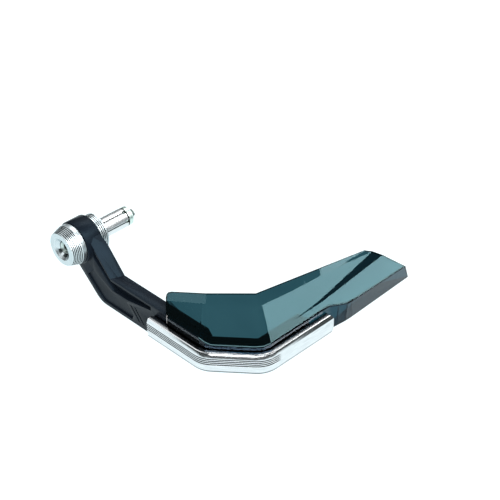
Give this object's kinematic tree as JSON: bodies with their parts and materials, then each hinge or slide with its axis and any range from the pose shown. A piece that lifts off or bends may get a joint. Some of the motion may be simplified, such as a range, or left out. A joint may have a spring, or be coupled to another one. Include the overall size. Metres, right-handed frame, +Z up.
{
  "type": "motorcycle lever guard",
  "caption": "Bar-end lever guard: expanding plug and end weight hold a cranked black arm that carries a smoked deflector shield and a bright grooved bumper strip",
  "frame": {"origin": "on the handlebar's axis, in the flange face that meets the end of the grip", "axes": "+X inboard along the handlebar, -Y forward, +Z up"},
  "size_m": [0.1875, 0.1896, 0.063],
  "materials": {
    "turned_aluminium": "fine turned, bright",
    "bolt_steel": "dark steel",
    "zinc_steel": "zinc plated",
    "black_nylon": "satin moulded",
    "smoked_polycarbonate": "glossy smoked transparent",
    "trim_aluminium": "bright drawn",
    "screw_steel": "bright steel"
  },
  "bodies": {
    "root": {"end_cap": "turned_aluminium", "clamp_bolt": "bolt_steel", "inner_flange": "turned_aluminium", "expansion_sleeve": "turned_aluminium", "cone_nut": "zinc_steel", "arm": "black_nylon", "shield": "smoked_polycarbonate", "trim": "trim_aluminium", "arm_screws": "screw_steel", "shield_screws": "screw_steel"}
  },
  "joints": []
}
